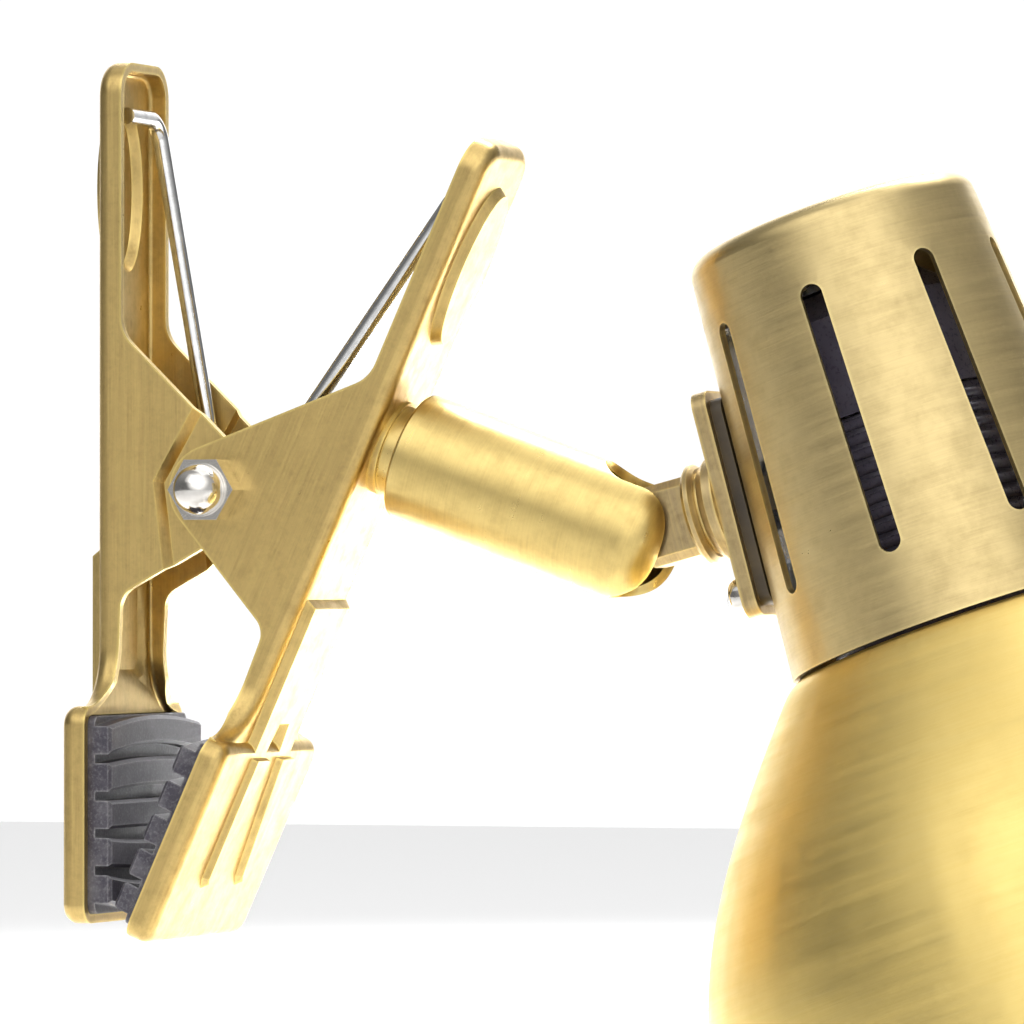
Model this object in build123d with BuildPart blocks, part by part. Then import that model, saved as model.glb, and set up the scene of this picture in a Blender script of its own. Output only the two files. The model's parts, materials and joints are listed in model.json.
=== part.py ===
"""Clip-on reading lamp: sprung clip, swivel arm, ball knuckle, vented cap and bell shade.

Millimetres, +Z up. The origin is the middle of the rear rubber pad's gripping face, and
the clip grips along +X. The clip's pivot axis runs along Y. All joints are drawn at rest.
"""
from build123d import *

import os
from math import acos, atan2, cos, degrees, pi, radians, sin, sqrt, tan

os.makedirs("parts", exist_ok=True)

# ---------------------------------------------------------------- clip sheet metal
SHEET = 1.2              # thickness of the pressed jaws
FOLD = 1.8               # outer radius of every fold
CHANNEL_HALF = 9.0       # half width of handle and channel
TRAY_HALF = 18.5         # half width of the pad trays
FLARE = 8.0              # radius where the channel flares into the tray
HANDLE_TOP = 57.5        # height of the handle's end above the pivot
TRAY_TOP = -28.8         # heights of the pad tray, from the pivot
TRAY_BOTTOM = -57.7
TRAY_STEP = 1.4          # the tray stands this much further out than the channel
TRAY_LIP = 3.5           # depth of the tray
FLANGE = 3.6             # depth of the handle's flanges
WAIST_FLANGE = 3.1       # depth of the flanges just above the tray
EAR_RADIUS = 6.0         # round end of each ear about the pivot
EAR_RISE = 4.6           # the ear's upper edge leaves the flange this far above the reach
EAR_BOTTOM = -14.0
REAR_REACH = 16.5        # pivot axis to the outer face of each jaw
FRONT_REACH = 18.0
FRONT_TILT = 24.0        # lean of the front jaw at rest, degrees
JOGGLE = 1.38            # the rear ears are pressed in by this much
JOGGLE_SLOPE = 1.3
THUMB_AT = 40.5          # raised thumb rest on each handle
THUMB_HALF = (6.0, 11.5)
EMBOSS = 1.3             # height of the raised panels
EMBOSS_SLOPE = 32        # lean of their sides, degrees
PANEL_HALF = 7.6         # stiffening panel, forked into two prongs over the tray
PANEL_TOP = -8.0
FORK_TOP = -26.5
FORK_HALF = (1.2, 5.3)   # half width between the prongs, at their root and at their tips
PRONG_TIP = -49.6
PRONG_HEIGHT = 0.9
PANEL_HOLLOW = 0.7       # depth of the hollow behind the panel

# ---------------------------------------------------------------- rubber pads
PAD_FACE = 6.8           # gripping face from the tray's outer face
GROOVE_FLOOR = 4.5
BLOCKS = 5
BLOCK_PITCH = 5.55
BLOCK_HEIGHT = 3.75
FIRST_BLOCK = -32.1      # middle of the top block
PAD_GAP = 0.1
BLOCK_BOW = 1.2          # the block edges arch by this much
BLOCK_EDGE = 0.45        # chamfer round each block's face

# ---------------------------------------------------------------- pivot and spring
BOLT_RADIUS = 2.5
BOLT_HOLE = 2.56
NUT_FLATS = 8.0
NUT_HEX = 4.2
NUT_DOME = 3.4
WIRE = 1.10              # radius of the spring wire
COIL_RADIUS = 4.05
LEG_Y = 5.2              # the legs' distance from the middle plane
COIL_TURNS = 4
BAR_HEIGHT = 50.3        # cross bars of the spring, above the pivot
BAR_DEPTH = 3.4          # and their depth behind the handle's outer face
BAR_END = -6.2
BEND = 3.0
LEG_SLACK = 0.2

# ---------------------------------------------------------------- swivel arm
ARM_HEIGHT = 14.3        # where the arm axis meets the front jaw
ARM_DROP = 19.9          # arm axis below horizontal, degrees
ARM_STANDOFF = 3.25      # jaw face to the tube's rim
TUBE_RADIUS = 8.6
TUBE_WALL = 1.1
TUBE_LENGTH = 38.3
TUBE_DOME = 5.0
TUBE_SLOT = 9.2          # width of the knuckle slot
SLOT_TOP = 26.0          # start of the slot, above and below, from the rim
SLOT_UNDER = 32.1
BOSS_RADIUS = 6.5
BOSS_HEIGHT = 0.85
COLLAR_RADIUS = 6.0
STUD_RADIUS = 3.0
BALL_AT = 31.8           # ball centre from the tube's rim
BALL_RADIUS = 5.5

# ---------------------------------------------------------------- knuckle and plate
NECK_RISE = 15.0         # neck axis above horizontal, degrees
TONGUE_HEIGHT = 10.6
TONGUE_WIDTH = 7.4
TONGUE_END = 10.3
NECK_COLLAR = 6.7
PLATE_AT = 14.8          # outer face of the mounting plate from the ball centre
PLATE_THICK = 2.0
PLATE_WIDTH = 11.5
PLATE_LENGTH = 30.5
CAP_AT = 18.3            # cap wall from the ball centre
SCREW_DOWN = 12.0        # plate screw below the neck
NECK_STUD = 2.5
SCREW_RADIUS = 1.5

# ---------------------------------------------------------------- cap
CAP_TOP = 19.3           # radius at the closed end
CAP_TAPER = 4.5          # half angle, degrees
CAP_LENGTH = 56.5
CAP_WALL = 0.9
CAP_ROUND = 2.8
NECK_DOWN = 31.5         # neck axis below the cap's closed end
SLOT_COUNT = 8
SLOT_WIDTH = 3.0
SLOT_START = 10.0
SLOT_END = 46.5
BUSH_TURN = 112.5        # cord bushing, round the cap from the side away from the neck
BUSH_DOWN = 40.0
BUSH_BORE = 3.2
BUSH_HUB = 4.4
BUSH_FLANGE = 5.6

# ---------------------------------------------------------------- shade
SHADE_WALL = 1.0
SHADE_TOP = 57.0
SHADE_BORE = 14.6
SHADE_END = 118.0
MOUTH_RADIUS = 52.3
RIM_BEAD = 1.1

# ---------------------------------------------------------------- lampholder and bulb
HOLDER_RADIUS = 14.0
HOLDER_TOP = 10.2
THREAD_START = 27.0
THREAD_PITCH = 2.0
THREAD_DEPTH = 0.8
HOLDER_END = 63.0
HOLDER_FLANGE = 54.6
STRIP = 1.0
STRIP_WIDTH = 10.0
STRIP_AT = 20.3          # outer face of the bracket's upright, from the ball centre
LEG_DOWN = 8.6
NIPPLE = 5.0
SOCKET_END = 61.0
BULB_TIP = 38.6
BULB_CAP_RADIUS = 6.7
BULB_RADIUS = 22.5
BULB_CENTRE = 92.6
GLASS = 0.8

# ---------------------------------------------------------------- reference frames
ACROSS = Vector(0, 1, 0)
UP = Vector(0, 0, 1)
PIVOT = Vector(REAR_REACH + TRAY_STEP - PAD_FACE, 0, (BLOCKS - 1) / 2 * BLOCK_PITCH - FIRST_BLOCK)
tilt = radians(FRONT_TILT)
front_out = Vector(cos(tilt), 0, -sin(tilt))
front_up = Vector(sin(tilt), 0, cos(tilt))
drop = radians(ARM_DROP)
arm_dir = Vector(cos(drop), 0, -sin(drop))
rise = radians(NECK_RISE)
neck_dir = Vector(cos(rise), 0, sin(rise))
neck_up = Vector(-sin(rise), 0, cos(rise))
taper = radians(CAP_TAPER)
head_dir = neck_dir * sin(taper) - neck_up * cos(taper)
head_out = neck_dir * cos(taper) + neck_up * sin(taper)

arm_root = PIVOT + front_out * FRONT_REACH + front_up * ARM_HEIGHT
tube_rim = arm_root + arm_dir * ARM_STANDOFF
ball_centre = tube_rim + arm_dir * BALL_AT


def cap_radius(down):
    """Outer radius of the cap at a distance from its closed end."""
    return CAP_TOP + down * tan(taper)


cap_wall = ball_centre + neck_dir * CAP_AT
head_top = cap_wall + head_out * cap_radius(NECK_DOWN) - head_dir * NECK_DOWN
bush_side = head_out * cos(radians(BUSH_TURN)) + ACROSS * sin(radians(BUSH_TURN))
bush_spot = head_top + head_dir * BUSH_DOWN + bush_side * cap_radius(BUSH_DOWN)
bush_out = bush_side * cos(taper) - head_dir * sin(taper)


def turning_plane(origin, axis):
    """Sketch plane of a turned piece: X is the radius and Y runs along its axis."""
    return Plane(origin=origin, x_dir=axis.cross(ACROSS), z_dir=ACROSS)


def cross_plane(origin, axis, along):
    """Plane across an axis, moved along it, with X in the lamp's middle plane."""
    return Plane(origin=origin + axis * along, x_dir=axis.cross(ACROSS), z_dir=axis)


pivot_turn = Plane(origin=PIVOT, x_dir=UP, z_dir=UP.cross(ACROSS * -1))
arm_turn = turning_plane(tube_rim, arm_dir)
neck_turn = turning_plane(ball_centre, neck_dir)
head_turn = turning_plane(head_top, head_dir)
bush_across = head_dir.cross(bush_out)
bush_turn = Plane(origin=bush_spot, x_dir=bush_across, z_dir=bush_across.cross(bush_out))


def save(piece, name):
    """Label a finished piece and write it."""
    piece.part.label = name
    export_step(piece.part, f"parts/{name}.step")


def turned(plane, outline):
    """Solid of revolution from a closed outline of (radius, distance) corners."""
    with BuildPart() as piece:
        with BuildSketch(plane):
            with BuildLine():
                Polyline(*outline, close=True)
            make_face()
        revolve(axis=Axis(plane.origin, plane.y_dir))
    return piece


def ring(plane, inner, outer, start, end):
    """Plain ring or, with no inner radius, a disc."""
    return turned(plane, [(inner, start), (outer, start), (outer, end), (inner, end)])


def hex_nut(plane, flats, bore, start, end):
    """Hexagon nut whose axis is the plane's Y direction."""
    seat = Plane(origin=plane.origin + plane.y_dir * start, x_dir=plane.x_dir, z_dir=plane.y_dir)
    with BuildPart() as nut:
        with BuildSketch(seat):
            RegularPolygon(flats / 2, 6, major_radius=False)
            Circle(bore, mode=Mode.SUBTRACT)
        extrude(amount=end - start)
    return nut


def helix_wire(plane, radius, pitch, turns, wire):
    """Coil of round wire about a plane's Z axis, starting on its X axis."""
    with BuildPart() as coil:
        with BuildLine() as line:
            Helix(pitch, pitch * turns, radius)
        path = plane.from_local_coords(line.wire())
        with BuildSketch(Plane(origin=path @ 0, z_dir=path % 0)):
            Circle(wire)
        sweep(path=path, is_frenet=True)
    return coil


# ================================================================ jaws
def jaw_planes(reach, out, up):
    """Face plane (Z inwards) and side plane (X inwards, Y up) of a jaw."""
    face = PIVOT + out * reach
    inwards = out * -1
    face_plane = Plane(origin=face, x_dir=up.cross(inwards), z_dir=inwards)
    side_plane = Plane(origin=face, x_dir=inwards, z_dir=inwards.cross(up))
    return face_plane, side_plane


def jaw_block(face_plane, depth, inset):
    """Filled form of a jaw. Inset 0 is its outside, and the sheet thickness its inside."""
    fold = FOLD - inset
    flare = CHANNEL_HALF + FLARE
    with BuildPart() as channel:
        with BuildSketch(face_plane.offset(inset)) as plan:
            with BuildLine():
                Polyline((0, HANDLE_TOP), (CHANNEL_HALF, HANDLE_TOP), (CHANNEL_HALF, TRAY_TOP + FLARE))
                CenterArc((flare, TRAY_TOP + FLARE), FLARE, 180, 90)
                Polyline((flare, TRAY_TOP), (flare, TRAY_TOP - 4), (0, TRAY_TOP - 4))
                mirror(about=Plane.YZ)
            make_face()
            top = plan.vertices().group_by(Axis.Y)[-1].sort_by(Axis.X)
            fillet([top[0], top[-1]], 4.5)
            if inset:
                offset(amount=-inset, mode=Mode.REPLACE)
        extrude(amount=depth)
        low = channel.faces().sort_by(Axis(face_plane.origin, face_plane.z_dir))[0]
        keep = low.edges().sort_by(Axis(face_plane.origin, face_plane.y_dir))[1:]
        fillet(keep, fold)
    with BuildPart() as tray:
        with BuildSketch(face_plane.offset(inset - TRAY_STEP)):
            with Locations((0, (TRAY_TOP + TRAY_BOTTOM) / 2)):
                RectangleRounded(2 * TRAY_HALF, TRAY_TOP - TRAY_BOTTOM, 2.6)
            if inset:
                offset(amount=-inset, mode=Mode.REPLACE)
        extrude(amount=depth)
        low = tray.faces().sort_by(Axis(face_plane.origin, face_plane.z_dir))[0]
        fillet(low.edges(), fold)
    return channel.part + tray.part


def thumb_rest(face_plane, grow, height):
    """Oval raised on the handle, or the hollow behind it."""
    slope = height * tan(radians(EMBOSS_SLOPE))
    with BuildPart() as oval:
        for level in (0, 1):
            with BuildSketch(face_plane.offset(level * height)):
                with Locations((0, THUMB_AT)):
                    Ellipse(THUMB_HALF[0] + grow - level * slope, THUMB_HALF[1] + grow - level * slope)
        loft()
    return oval.part


def fork_outline():
    """Corners of the panel and its two prongs, in the plane of a jaw's face."""
    root, tip = FORK_HALF
    right = [(PANEL_HALF, PANEL_TOP), (PANEL_HALF, PRONG_TIP + 1.5), ((PANEL_HALF + tip) / 2, PRONG_TIP),
             (tip, PRONG_TIP + 1.5), (root, FORK_TOP)]
    return right + [(-x, y) for x, y in reversed(right)]


def fork(face_plane, height, side):
    """The raised fork above the tray's upper edge (side 1) or on the tray (side -1)."""
    split = TRAY_TOP - FOLD
    with BuildPart() as raised:
        with BuildSketch(face_plane):
            with BuildLine():
                Polyline(*fork_outline(), close=True)
            make_face()
        extrude(amount=height, taper=EMBOSS_SLOPE)
        with BuildSketch(face_plane.offset(-1)):
            with Locations((0, split - side * TRAY_HALF * 2)):
                Rectangle(TRAY_HALF * 2, TRAY_HALF * 4)
        extrude(amount=height + 2, mode=Mode.SUBTRACT)
    return raised.part


def panel_hollow(face_plane):
    """Shallow hollow behind the panel, above its fork."""
    top = PANEL_TOP - 1
    low = FORK_TOP + 1
    with BuildPart() as hollow:
        with BuildSketch(face_plane) as plan:
            with Locations((0, (top + low) / 2)):
                Rectangle(2 * PANEL_HALF - 2, top - low)
            fillet(plan.vertices(), 3)
        extrude(amount=PANEL_HOLLOW, taper=2 * EMBOSS_SLOPE)
    return hollow.part


def jaw_profile(side_plane, reach):
    """Side view of the ears and flanges, as a slab across the whole jaw."""
    lip = TRAY_LIP - TRAY_STEP
    ear_top = reach + EAR_RISE
    with BuildPart() as slab:
        with BuildSketch(side_plane) as side:
            with BuildLine() as web:
                Line((FLANGE, ear_top), (FLANGE, EAR_BOTTOM))
            with BuildLine() as tip:
                CenterArc((reach, 0), EAR_RADIUS, 0, 360)
            make_hull([*web.edges(), *tip.edges()])
            with BuildLine():
                Polyline((-4, HANDLE_TOP + 2), (FLANGE, HANDLE_TOP + 2), (FLANGE, ear_top),
                         (FLANGE, EAR_BOTTOM), (WAIST_FLANGE, TRAY_TOP + 3), (lip, TRAY_TOP),
                         (lip, TRAY_BOTTOM - 2), (-4, TRAY_BOTTOM - 2), close=True)
            make_face()
            inner = side.vertices().sort_by(lambda v: abs(v.Y - ear_top) + abs(v.X - FLANGE))[0]
            fillet(inner, 5)
            inner = side.vertices().sort_by(lambda v: abs(v.Y - EAR_BOTTOM) + abs(v.X - FLANGE))[0]
            fillet(inner, 3)
        extrude(amount=TRAY_HALF + 2, both=True)
    return slab.part


def jaw_shell(face_plane, side_plane, reach):
    """Pressed sheet jaw with flanges, ears, tray, thumb rest and ribs."""
    outwards = Plane(origin=face_plane.origin, x_dir=face_plane.x_dir * -1, z_dir=face_plane.z_dir * -1)
    depth = reach + EAR_RADIUS + 3
    shell = jaw_block(face_plane, depth, 0) - jaw_block(face_plane, depth + 2, SHEET)
    shell = shell & jaw_profile(side_plane, reach)
    shell = shell + thumb_rest(outwards.offset(-0.01), 0, EMBOSS)
    shell = shell - thumb_rest(outwards.offset(-SHEET - 0.01), -0.6, EMBOSS)
    shell = shell + fork(outwards.offset(-0.01), EMBOSS, 1)
    shell = shell - panel_hollow(outwards.offset(-SHEET - 0.01))
    return shell + fork(outwards.offset(TRAY_STEP - 0.01), PRONG_HEIGHT, -1)


def ear_joggle(side_plane, start, side):
    """Slab that steps an ear inwards on one side, starting at a distance from the middle."""
    plane = side_plane.offset(side * start)
    inwards = Plane(origin=plane.origin, x_dir=plane.x_dir, z_dir=plane.z_dir * -side)
    turn = 1 if inwards.y_dir.Z > 0 else -1
    with BuildPart() as slab:
        with BuildSketch(inwards):
            with BuildLine():
                Polyline((8.2, 1.2 * turn), (19.1, 20 * turn), (32, 20 * turn), (32, -20 * turn),
                         (10.8, -20 * turn), close=True)
            make_face()
        extrude(amount=JOGGLE, taper=degrees(atan2(JOGGLE_SLOPE, JOGGLE)))
    return slab.part


def pivot_hole(radius):
    """Cylinder along the pivot axis, right through the clip."""
    return ring(pivot_turn, 0, radius, -TRAY_HALF, TRAY_HALF).part


def make_rear_jaw():
    """Fixed jaw, with its ears pressed inwards to fit inside the front jaw's ears."""
    face_plane, side_plane = jaw_planes(REAR_REACH, Vector(-1, 0, 0), UP)
    shell = jaw_shell(face_plane, side_plane, REAR_REACH)
    profile = jaw_profile(side_plane, REAR_REACH)
    for side in (-1, 1):
        shell = shell - ear_joggle(side_plane, CHANNEL_HALF, side)
        shell = shell + (ear_joggle(side_plane, CHANNEL_HALF - SHEET, side) & profile)
    with BuildPart() as jaw:
        add(shell.solids())
        add(pivot_hole(BOLT_HOLE), mode=Mode.SUBTRACT)
    save(jaw, "rear_jaw")


def make_front_jaw():
    """Moving jaw, with a flat boss for the arm, square to the arm's axis."""
    face_plane, side_plane = jaw_planes(FRONT_REACH, front_out, front_up)
    with BuildPart() as jaw:
        add(jaw_shell(face_plane, side_plane, FRONT_REACH).solids())
        add(ring(arm_turn, 0, BOSS_RADIUS, -ARM_STANDOFF - 0.7, -ARM_STANDOFF + BOSS_HEIGHT).part)
        add(ring(arm_turn, 0, STUD_RADIUS + 0.05, -ARM_STANDOFF - 4, 0).part, mode=Mode.SUBTRACT)
        add(pivot_hole(BOLT_HOLE), mode=Mode.SUBTRACT)
    save(jaw, "front_jaw")


def make_pad(face_plane, name):
    """Moulded rubber pad: a base that fills the tray and five arched gripping blocks."""
    half = TRAY_HALF - SHEET - PAD_GAP
    length = TRAY_TOP - TRAY_BOTTOM - 2 * (SHEET + PAD_GAP)
    with BuildPart() as pad:
        with BuildSketch(face_plane.offset(SHEET - TRAY_STEP)):
            with Locations((0, (TRAY_TOP + TRAY_BOTTOM) / 2)):
                RectangleRounded(2 * half, length, 1.3)
        extrude(amount=GROOVE_FLOOR - SHEET)
        base = pad.faces().sort_by(Axis(face_plane.origin, face_plane.z_dir))[0]
        chamfer(base.edges(), 0.7)
        for block in range(BLOCKS):
            middle = FIRST_BLOCK - block * BLOCK_PITCH
            bow = BLOCK_BOW * (1 - 2 * block / (BLOCKS - 1))
            high = middle + BLOCK_HEIGHT / 2
            low = middle - BLOCK_HEIGHT / 2
            with BuildSketch(face_plane.offset(GROOVE_FLOOR - TRAY_STEP)):
                with BuildLine():
                    if abs(bow) > 0.01:
                        ThreePointArc((-half, high - bow), (0, high), (half, high - bow))
                        ThreePointArc((-half, low - bow), (0, low), (half, low - bow))
                    else:
                        Line((-half, high), (half, high))
                        Line((-half, low), (half, low))
                    Line((half, high - bow), (half, low - bow))
                    Line((-half, high - bow), (-half, low - bow))
                make_face()
            extrude(amount=PAD_FACE - GROOVE_FLOOR)
        face = pad.faces().group_by(Axis(face_plane.origin, face_plane.z_dir))[-1]
        chamfer(face.edges(), BLOCK_EDGE)
    save(pad, name)


# ================================================================ pivot and spring
def make_pivot():
    """Pivot bolt with a domed head on the far side, and the acorn nut on the near side."""
    near = CHANNEL_HALF
    bolt = turned(pivot_turn, [(0, -near - 3), (2.6, -near - 3), (4.3, -near - 2), (4.3, -near),
                               (BOLT_RADIUS, -near), (BOLT_RADIUS, near + NUT_HEX), (0, near + NUT_HEX)])
    save(bolt, "pivot_bolt")
    seat = Plane(origin=PIVOT - ACROSS * near, x_dir=UP, z_dir=ACROSS * -1)
    with BuildPart() as nut:
        with BuildSketch(seat):
            RegularPolygon(NUT_FLATS / 2, 6, major_radius=False, rotation=30)
        extrude(amount=NUT_HEX)
        add(ring(pivot_turn, 0, NUT_DOME + 0.15, near + NUT_HEX - 0.5, near + NUT_HEX + 0.5).part)
        with Locations(seat.origin - ACROSS * (NUT_HEX + 0.5)):
            Sphere(NUT_DOME)
        add(ring(pivot_turn, 0, BOLT_RADIUS + 0.02, near - 1, near + NUT_HEX + 0.3).part, mode=Mode.SUBTRACT)
    save(nut, "acorn_nut")


def leg_start(target):
    """Angle, in the clip's side view, where a straight leg leaves the coil for its bar."""
    reach = sqrt(target.X ** 2 + target.Z ** 2)
    side = 1 if target.X < 0 else -1
    return atan2(target.Z, target.X) + side * acos(COIL_RADIUS / reach)


def spring_leg(target, side, name):
    """Straight leg from the coil to a bar across the handle, in round wire."""
    angle = leg_start(target)
    start = Vector(cos(angle), 0, sin(angle)) * COIL_RADIUS
    start = start + (target - start).normalized() * LEG_SLACK
    low = PIVOT + start + ACROSS * side * LEG_Y
    corner = PIVOT + target + ACROSS * side * LEG_Y
    with BuildPart() as leg:
        with BuildLine() as line:
            FilletPolyline(low, corner, PIVOT + target + ACROSS * side * BAR_END, radius=BEND)
        path = line.wire()
        with BuildSketch(Plane(origin=path @ 0, z_dir=path % 0)):
            Circle(WIRE)
        sweep(path=path)
    save(leg, name)
    return angle


def make_spring():
    """Torsion spring: a coil round the bolt and a leg behind each handle."""
    rear_target = Vector(BAR_DEPTH - REAR_REACH, 0, BAR_HEIGHT)
    front_target = front_out * (FRONT_REACH - BAR_DEPTH) + front_up * BAR_HEIGHT
    rear_angle = spring_leg(rear_target, 1, "spring_rear_leg")
    front_angle = spring_leg(front_target, -1, "spring_front_leg")
    turns = (front_angle - rear_angle) / (2 * pi) + COIL_TURNS + 1
    first = Plane(origin=PIVOT + ACROSS * LEG_Y, x_dir=Vector(cos(rear_angle), 0, sin(rear_angle)),
                  z_dir=ACROSS * -1)
    save(helix_wire(first, COIL_RADIUS, 2 * LEG_Y / turns, turns, WIRE), "spring_coil")


# ================================================================ swivel arm
def make_swivel():
    """Collar, headed stud, spring washer and nut that hold the arm to the front jaw."""
    jaw = -ARM_STANDOFF
    inside = jaw - SHEET - 0.45
    save(ring(arm_turn, STUD_RADIUS + 0.05, COLLAR_RADIUS, jaw + BOSS_HEIGHT + 0.02, -0.05), "arm_collar")
    stud = turned(arm_turn, [(0, TUBE_WALL + 3), (4, TUBE_WALL + 3), (5, TUBE_WALL + 2.4),
                             (5, TUBE_WALL + 0.05), (STUD_RADIUS, TUBE_WALL + 0.05),
                             (STUD_RADIUS, inside - 6.6), (0, inside - 6.6)])
    save(stud, "swivel_stud")
    save(ring(arm_turn, STUD_RADIUS + 0.05, 5.4, inside - 0.9, inside), "swivel_washer")
    save(hex_nut(arm_turn, 10, STUD_RADIUS + 0.02, inside - 5.7, inside - 0.9), "swivel_nut")


def slot_cut(start, side):
    """Round-ended slot from a distance along the tube out through its end, above or below."""
    half = TUBE_SLOT / 2
    up = arm_turn.x_dir * side
    with BuildPart() as cut:
        with BuildSketch(Plane(origin=tube_rim, x_dir=arm_dir, z_dir=up)):
            with Locations((start + half, 0)):
                Circle(half)
            with Locations((start + half + 10, 0)):
                Rectangle(20, TUBE_SLOT)
        extrude(amount=TUBE_RADIUS + 2)
    return cut.part


def make_tube():
    """Arm tube with a domed end, slotted for the knuckle."""
    inner = TUBE_RADIUS - TUBE_WALL
    with BuildPart() as hollow:
        with BuildSketch(cross_plane(tube_rim, arm_dir, TUBE_WALL)):
            Circle(inner)
        extrude(amount=TUBE_LENGTH - 2 * TUBE_WALL)
        fillet(hollow.edges().sort_by(Axis(tube_rim, arm_dir))[-1], TUBE_DOME - TUBE_WALL)
    with BuildPart() as tube:
        with BuildSketch(cross_plane(tube_rim, arm_dir, 0)):
            Circle(TUBE_RADIUS)
        extrude(amount=TUBE_LENGTH)
        ends = tube.edges().sort_by(Axis(tube_rim, arm_dir))
        fillet(ends[-1], TUBE_DOME)
        fillet(ends[0], 0.5)
        add(hollow.part, mode=Mode.SUBTRACT)
        add(ring(arm_turn, 0, STUD_RADIUS + 0.08, -1, 3).part, mode=Mode.SUBTRACT)
        add(slot_cut(SLOT_TOP, 1), mode=Mode.SUBTRACT)
        add(slot_cut(SLOT_UNDER, -1), mode=Mode.SUBTRACT)
    save(tube, "arm_tube")


def make_seat():
    """Cup that presses on the ball, and the coil spring behind it."""
    front = BALL_AT - 5.0
    back = front - 5.5
    with BuildPart() as seat:
        add(ring(arm_turn, 2.5, TUBE_RADIUS - TUBE_WALL - 0.25, back, front).part)
        with Locations(ball_centre):
            Sphere(BALL_RADIUS + 0.3, mode=Mode.SUBTRACT)
    save(seat, "ball_seat")
    first = cross_plane(tube_rim, arm_dir, TUBE_WALL + 3.9)
    length = back - TUBE_WALL - 4.8
    save(helix_wire(first, 5.6, length / 5, 5, 0.6), "seat_spring")


# ================================================================ knuckle and plate
def make_knuckle():
    """Ball, flat-sided tongue, collar and threaded stud in one turned and milled piece."""
    with BuildPart() as knuckle:
        with Locations(ball_centre):
            Sphere(BALL_RADIUS)
        with BuildSketch(cross_plane(ball_centre, neck_dir, 3.5)) as section:
            Rectangle(TONGUE_HEIGHT, TONGUE_WIDTH)
            chamfer(section.vertices(), 1.1)
        extrude(amount=TONGUE_END - 3.5 + 0.5)
        add(turned(neck_turn, [(0, TONGUE_END), (NECK_COLLAR - 0.5, TONGUE_END),
                               (NECK_COLLAR, TONGUE_END + 0.5), (NECK_COLLAR, TONGUE_END + 1.1),
                               (NECK_COLLAR - 0.6, TONGUE_END + 1.7),
                               (NECK_COLLAR - 1.1, TONGUE_END + 1.7), (NECK_COLLAR - 1.1, TONGUE_END + 2.1),
                               (NECK_STUD, TONGUE_END + 2.1), (NECK_STUD, 25.6), (0, 25.6)]).part)
    save(knuckle, "knuckle")
    washer = turned(neck_turn, [(NECK_STUD + 0.05, TONGUE_END + 2.12), (NECK_COLLAR - 0.7, TONGUE_END + 2.12),
                                (NECK_COLLAR + 0.2, TONGUE_END + 3.2), (NECK_COLLAR + 0.2, PLATE_AT),
                                (NECK_STUD + 0.05, PLATE_AT)])
    save(washer, "neck_washer")


def neck_holes(start, end):
    """The stud and screw holes through everything on the mounting plate."""
    screw = turning_plane(ball_centre - neck_up * SCREW_DOWN, neck_dir)
    stud_hole = ring(neck_turn, 0, NECK_STUD + 0.06, start, end).part
    return stud_hole + ring(screw, 0, SCREW_RADIUS + 0.06, start, end).part


def flat_plate(along, thick, length, width, corner, name):
    """Rounded plate square to the neck, with its two holes."""
    with BuildPart() as plate:
        with BuildSketch(cross_plane(ball_centre, neck_dir, along)):
            RectangleRounded(length, width, corner)
        extrude(amount=thick)
        if thick < 1.5:
            lines = plate.edges().filter_by(GeomType.LINE)
            fillet(lines.sort_by(Axis(ball_centre, neck_dir))[0:4], 0.3)
        add(neck_holes(along - 1, along + thick + 1), mode=Mode.SUBTRACT)
    save(plate, name)


def make_plate():
    """Mounting plate, spacer, plate screw and the two nuts inside the cap."""
    flat_plate(PLATE_AT, PLATE_THICK, PLATE_LENGTH, PLATE_WIDTH, 2.5, "mounting_plate")
    flat_plate(PLATE_AT + PLATE_THICK, CAP_AT - PLATE_AT - PLATE_THICK, 28.0, 8.5, 2.0, "plate_spacer")
    inside = STRIP_AT + STRIP
    screw_turn = turning_plane(ball_centre - neck_up * SCREW_DOWN, neck_dir)
    seat = PLATE_AT - 0.7
    head = turned(screw_turn, [(0, seat - 2.5), (1.3, seat - 2.4), (2.2, seat - 1.9), (2.7, seat - 1.1),
                               (2.75, seat), (3.3, seat), (3.3, PLATE_AT), (SCREW_RADIUS, PLATE_AT),
                               (SCREW_RADIUS, inside + 3), (0, inside + 3)])
    save(head, "plate_screw")
    save(hex_nut(screw_turn, 5.5, SCREW_RADIUS + 0.02, inside, inside + 2.4), "plate_screw_nut")
    save(hex_nut(neck_turn, 8, NECK_STUD + 0.02, inside, inside + 4), "neck_nut")


# ================================================================ cap
def make_cap():
    """Tapered cap, closed at the top, with vent slots all round except at the plate."""
    low = cap_radius(CAP_LENGTH)
    with BuildPart() as cap:
        add(turned(head_turn, [(0, 0), (CAP_TOP, 0), (low, CAP_LENGTH), (0, CAP_LENGTH)]).part)
        fillet(cap.edges().sort_by(Axis(head_top, head_dir))[0], CAP_ROUND)
        offset(amount=-CAP_WALL, openings=cap.faces().sort_by(Axis(head_top, head_dir))[-1])
        for step in range(SLOT_COUNT):
            turn = radians(360 / SLOT_COUNT * step)
            outwards = head_out * cos(turn) + ACROSS * sin(turn)
            if outwards.dot(neck_dir) < -0.9:
                continue
            middle = head_top + head_dir * (SLOT_START + SLOT_END) / 2
            with BuildSketch(Plane(origin=middle, x_dir=head_dir, z_dir=outwards)):
                SlotOverall(SLOT_END - SLOT_START, SLOT_WIDTH)
            extrude(amount=low + 2, mode=Mode.SUBTRACT)
        add(neck_holes(CAP_AT - 2, CAP_AT + 6), mode=Mode.SUBTRACT)
        add(ring(bush_turn, 0, BUSH_HUB + 0.05, -5, 5).part, mode=Mode.SUBTRACT)
    save(cap, "vent_cap")


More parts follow.
